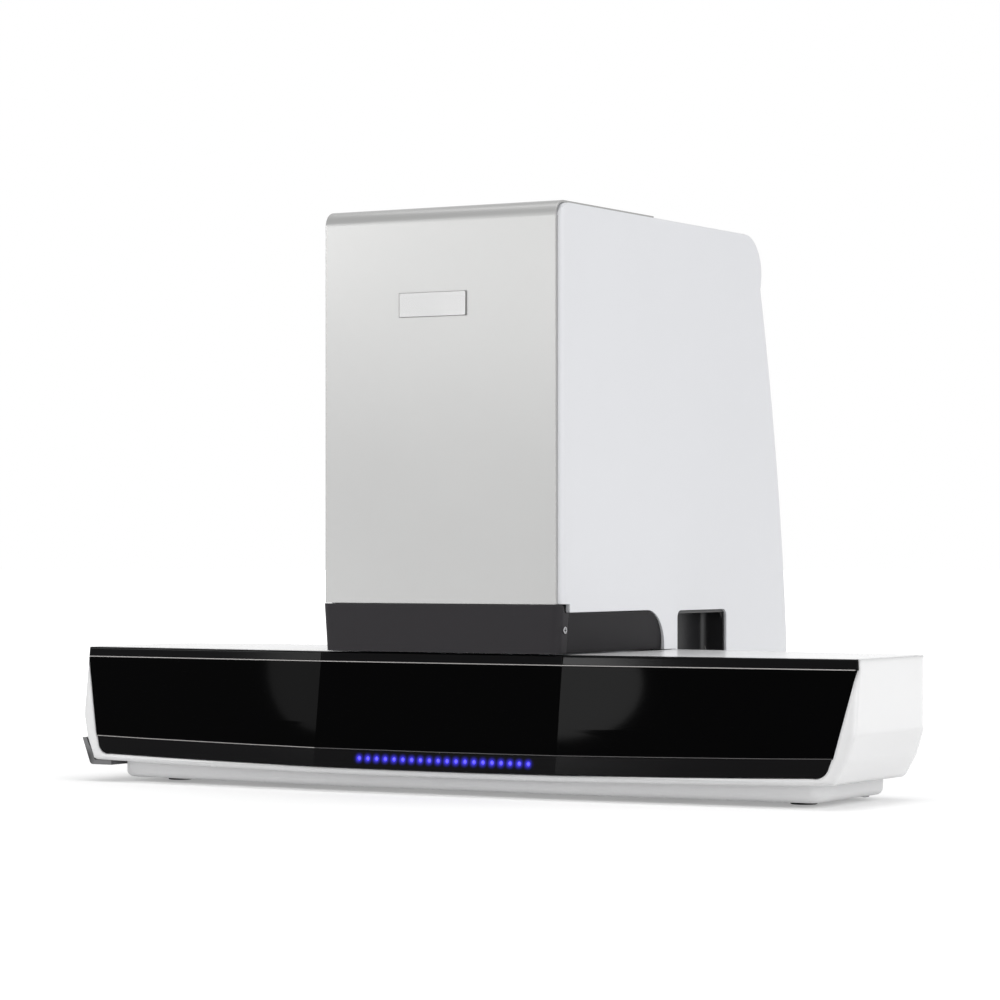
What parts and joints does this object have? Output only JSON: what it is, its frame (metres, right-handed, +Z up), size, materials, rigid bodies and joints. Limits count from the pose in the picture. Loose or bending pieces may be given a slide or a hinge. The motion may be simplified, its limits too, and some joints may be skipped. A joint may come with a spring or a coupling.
{
  "type": "digital slide scanner",
  "caption": "Bench digital slide scanner: wide low bar with a glass front, side drawer for glass slides and moving stage, under a tall optics tower.",
  "frame": {"origin": "under the middle of the whole machine, on the surface its feet stand on", "axes": "+X to the right of someone facing the front, along the long bar; +Y to the back; +Z up"},
  "size_m": [0.613, 0.372, 0.4025],
  "materials": {
    "white_gloss": "glossy white moulding",
    "white_paint": "satin white coating",
    "brushed_sheet": "fine brushed, clear coated",
    "black_glass": "polished black glass",
    "black_gloss": "piano black",
    "smoked_strip": "smoked, polished",
    "dark_matte": "fine matte texture",
    "grip_black": "satin black moulding",
    "lamp_blue": "clear blue lens, lit",
    "board_green": "solder mask",
    "badge": "bare satin plate",
    "pan_white": "satin white moulding",
    "foot_rubber": "soft matte rubber",
    "machined": "machined, clear anodised",
    "dark_anodised": "black anodised",
    "ground_steel": "ground steel",
    "bright_screw": "plated screw",
    "pull_grey": "satin grey",
    "tray_grey": "bead blasted, anodised",
    "slide_glass": "clear ground-edge glass",
    "spring_steel": "spring steel",
    "belt_rubber": "reinforced belt",
    "motor_black": "black enamel",
    "diffuser": "opal",
    "lens_glass": "bright nickel barrel",
    "plate_grey": "grey powder coat",
    "switch_black": "black moulding",
    "zinc": "zinc plated"
  },
  "bodies": {
    "root": {"base_shell": "white_gloss", "base_pan": "pan_white", "rubber_feet": "foot_rubber", "wing_cover_left": "white_gloss", "wing_cover_right": "white_gloss", "top_strip_left": "black_gloss", "top_strip_centre": "black_gloss", "top_strip_right": "black_gloss", "front_glass": "black_glass", "lamp_strip": "smoked_strip", "lamp_board": "board_green", "indicator_lamps": "lamp_blue", "front_cover": "brushed_sheet", "side_cover_left": "white_paint", "side_cover_right": "white_paint", "top_cover": "white_paint", "rear_cover": "white_paint", "skirt_front": "dark_matte", "skirt_sides": "dark_matte", "grip_cups": "grip_black", "badge_plate": "badge", "cover_screws": "bright_screw", "connector_plate": "plate_grey", "power_inlet": "switch_black", "switch_frame": "switch_black", "data_socket": "zinc", "fan_frame": "grip_black", "chassis_plate": "machined", "linear_rails": "ground_steel", "stage_motor": "motor_black", "idler_bracket": "machined", "drive_belt": "belt_rubber", "drawer_guides": "zinc", "lamp_housing": "dark_anodised", "lamp_diffuser": "diffuser", "side_frames": "machined", "bridge_plate": "machined", "head_motor": "motor_black", "power_supply": "zinc", "control_board": "board_green"},
    "drawer": {"drawer_front": "white_gloss", "drawer_pull": "pull_grey", "drawer_rails": "ground_steel"},
    "stage": {"stage_carriage": "dark_anodised"},
    "tray": {"slide_tray": "tray_grey", "glass_slides": "slide_glass", "slide_springs": "spring_steel"},
    "drive_wheel": {"drive_pulley": "machined"},
    "idler_wheel": {"idler_pulley": "machined"},
    "head": {"head_carriage": "machined", "focus_rods": "ground_steel", "focus_motor": "motor_black"},
    "head_screw": {"head_screw": "ground_steel"},
    "focus": {"focus_slide": "dark_anodised", "objective": "lens_glass", "optical_tube": "dark_anodised", "camera": "dark_anodised"},
    "focus_screw": {"focus_screw": "ground_steel"},
    "fan": {"fan_rotor": "grip_black"},
    "rocker": {"power_rocker": "switch_black"}
  },
  "joints": [
    {"name": "drawer_slide", "type": "slide", "parent": "root", "child": "drawer", "axis": [-1, 0, 0], "range_m": [0, 0.196]},
    {"name": "stage_slide", "type": "slide", "parent": "root", "child": "stage", "axis": [1, 0, 0], "range_m": [0, 0.28]},
    {"name": "tray_slide", "type": "slide", "parent": "stage", "child": "tray", "axis": [-1, 0, 0], "range_m": [0, 0.197]},
    {"name": "drive_pulley_turn", "type": "hinge", "parent": "root", "child": "drive_wheel", "pos_m": [0.1905, -0.127, 0.03], "axis": [0, 1, 0], "range_deg": [-30, 2340]},
    {"name": "idler_pulley_turn", "type": "hinge", "parent": "root", "child": "idler_wheel", "pos_m": [-0.2625, -0.127, 0.03], "axis": [0, 1, 0], "range_deg": [-30, 2340]},
    {"name": "head_slide", "type": "slide", "parent": "root", "child": "head", "axis": [0, 1, 0], "range_m": [-0.018, 0.018]},
    {"name": "head_drive_turn", "type": "hinge", "parent": "root", "child": "head_screw", "pos_m": [0.034, -0.113, 0.172], "axis": [0, 1, 0], "range_deg": [-1420, 1420]},
    {"name": "focus_travel", "type": "slide", "parent": "head", "child": "focus", "axis": [0, 0, 1], "range_m": [-0.003, 0.012]},
    {"name": "focus_drive_turn", "type": "hinge", "parent": "head", "child": "focus_screw", "pos_m": [0, -0.072, 0.25], "axis": [0, 0, 1], "range_deg": [-900, 3100]},
    {"name": "fan_turn", "type": "hinge", "parent": "root", "child": "fan", "pos_m": [0, 0.151, 0.108], "axis": [0, 1, 0], "continuous": true},
    {"name": "rocker_tilt", "type": "hinge", "parent": "root", "child": "rocker", "pos_m": [0.004, 0.155, 0.046], "axis": [1, 0, 0], "range_deg": [0, 12]}
  ],
  "couplings": [
    {"joint": "tray_slide", "follows": "drawer_slide", "ratio": 1},
    {"joint": "drive_pulley_turn", "follows": "stage_slide", "rad_per_m": 140.85},
    {"joint": "idler_pulley_turn", "follows": "stage_slide", "rad_per_m": 140.85},
    {"joint": "head_drive_turn", "follows": "head_slide", "rad_per_m": 1256.6},
    {"joint": "focus_drive_turn", "follows": "focus_travel", "rad_per_m": 3141.6}
  ]
}
